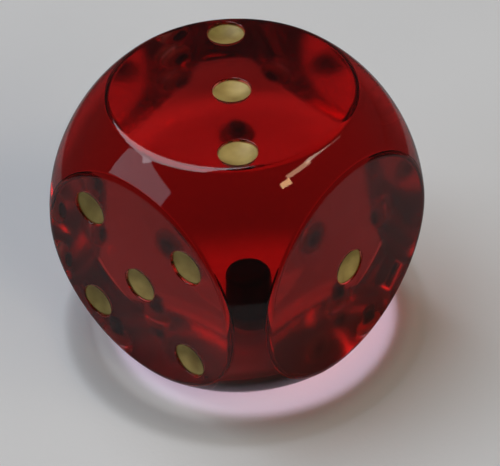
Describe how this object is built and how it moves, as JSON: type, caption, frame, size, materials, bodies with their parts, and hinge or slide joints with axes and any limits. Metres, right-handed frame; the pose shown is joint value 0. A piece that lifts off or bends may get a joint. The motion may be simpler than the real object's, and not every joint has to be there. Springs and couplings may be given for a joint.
{
  "type": "ball-cornered die",
  "caption": "Transparent dark red six-sided die with ball corners, round flats and recessed pips filled with gold enamel.",
  "frame": {"origin": "centre of the die, which is the centre of its ball and half way between each pair of opposite flats", "axes": "+Z out of the flat with three pips, -Y out of the five, +X out of the one, so -Z is the four it rests on"},
  "size_m": [0.016, 0.016, 0.016],
  "materials": {
    "clear_red_plastic": "transparent, polished",
    "gold_enamel": "satin gold enamel paint, dried in the recess"
  },
  "bodies": {
    "root": {"die_body": "clear_red_plastic", "pip_one_1": "gold_enamel", "pip_two_1": "gold_enamel", "pip_two_2": "gold_enamel", "pip_three_1": "gold_enamel", "pip_three_2": "gold_enamel", "pip_three_3": "gold_enamel", "pip_four_1": "gold_enamel", "pip_four_2": "gold_enamel", "pip_four_3": "gold_enamel", "pip_four_4": "gold_enamel", "pip_five_1": "gold_enamel", "pip_five_2": "gold_enamel", "pip_five_3": "gold_enamel", "pip_five_4": "gold_enamel", "pip_five_5": "gold_enamel", "pip_six_1": "gold_enamel", "pip_six_2": "gold_enamel", "pip_six_3": "gold_enamel", "pip_six_4": "gold_enamel", "pip_six_5": "gold_enamel", "pip_six_6": "gold_enamel"}
  },
  "joints": []
}
